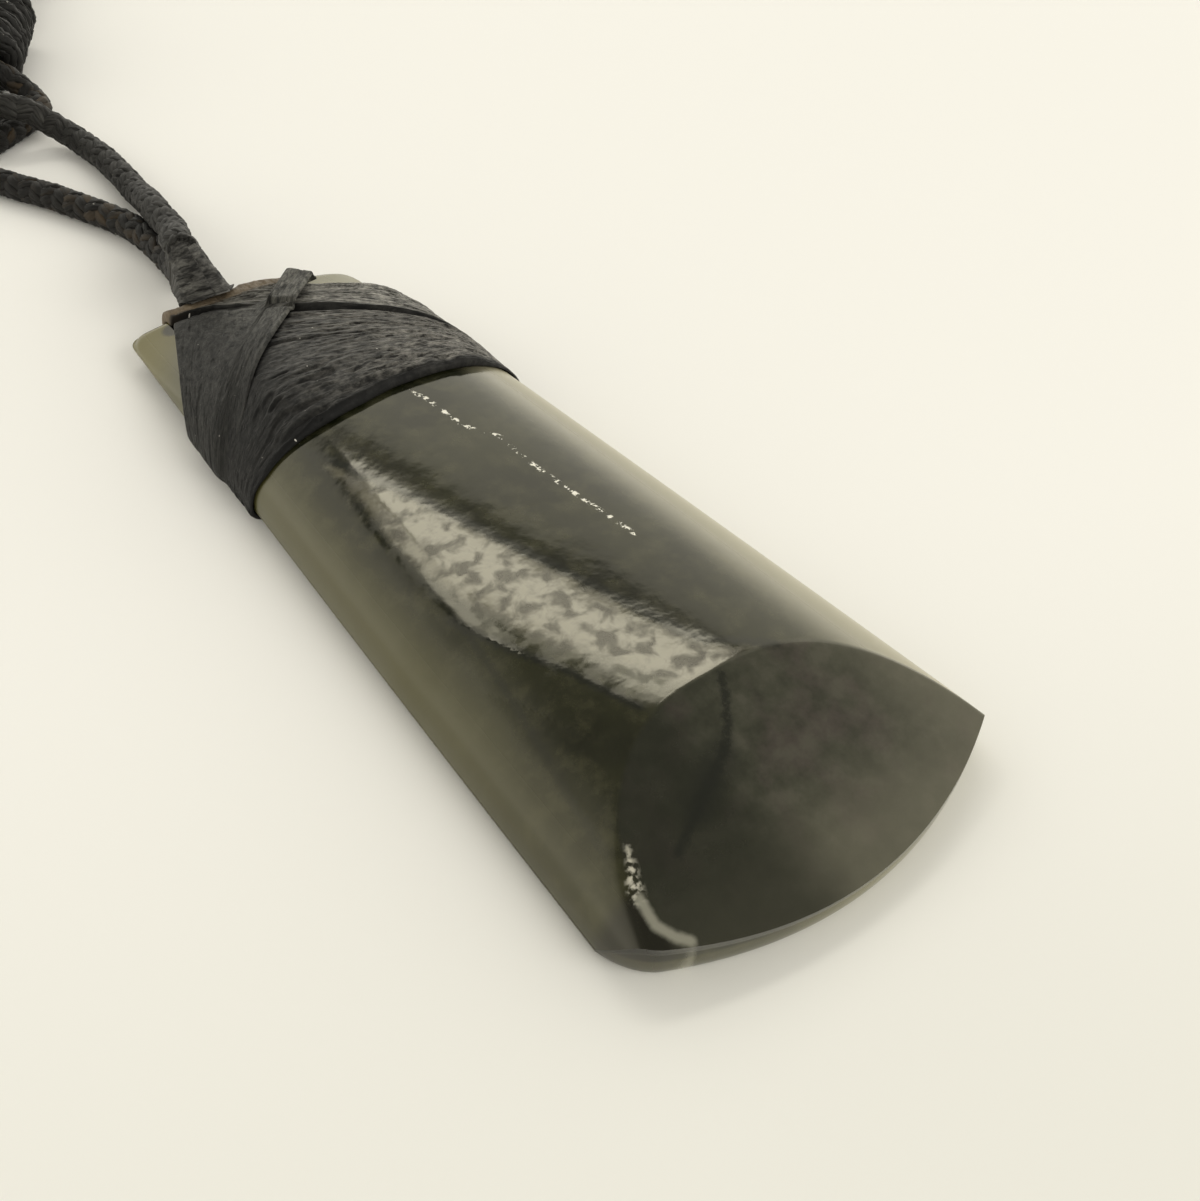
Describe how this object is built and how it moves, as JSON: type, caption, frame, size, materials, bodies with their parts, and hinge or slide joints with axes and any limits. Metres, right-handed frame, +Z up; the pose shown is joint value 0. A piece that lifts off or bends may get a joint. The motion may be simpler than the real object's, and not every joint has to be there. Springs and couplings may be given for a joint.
{
  "type": "greenstone adze pendant",
  "caption": "Carved greenstone adze pendant with a domed front and ground bevel, bound in black waxed thread at the poll and hung on a braided neck cord with sliding knots.",
  "frame": {"origin": "on the surface below the middle of the bound stone and its collar, without the neck cord", "axes": "+Y from the cutting edge towards the poll and the cord, +Z up through the domed front, +X to the right as seen from the front with the cord at the top"},
  "size_m": [0.0258, 0.1905, 0.0064],
  "materials": {
    "greenstone": "polished dark green nephrite with pale cloudy patches and dark veins",
    "waxed_thread": "black waxed thread wound side by side, with a dull sheen",
    "braided_cord": "black waxed cord in a close braid",
    "knot_cord": "the same black waxed cord, wound into knots"
  },
  "bodies": {
    "root": {"toki_blade": "greenstone", "lashing_front_band": "waxed_thread", "lashing_top_band": "waxed_thread", "lashing_cross_band": "waxed_thread", "neck_collar": "waxed_thread", "neck_cord_left": "braided_cord", "neck_cord_right": "braided_cord", "slide_knot_near": "knot_cord", "slide_knot_far": "knot_cord"}
  },
  "joints": []
}
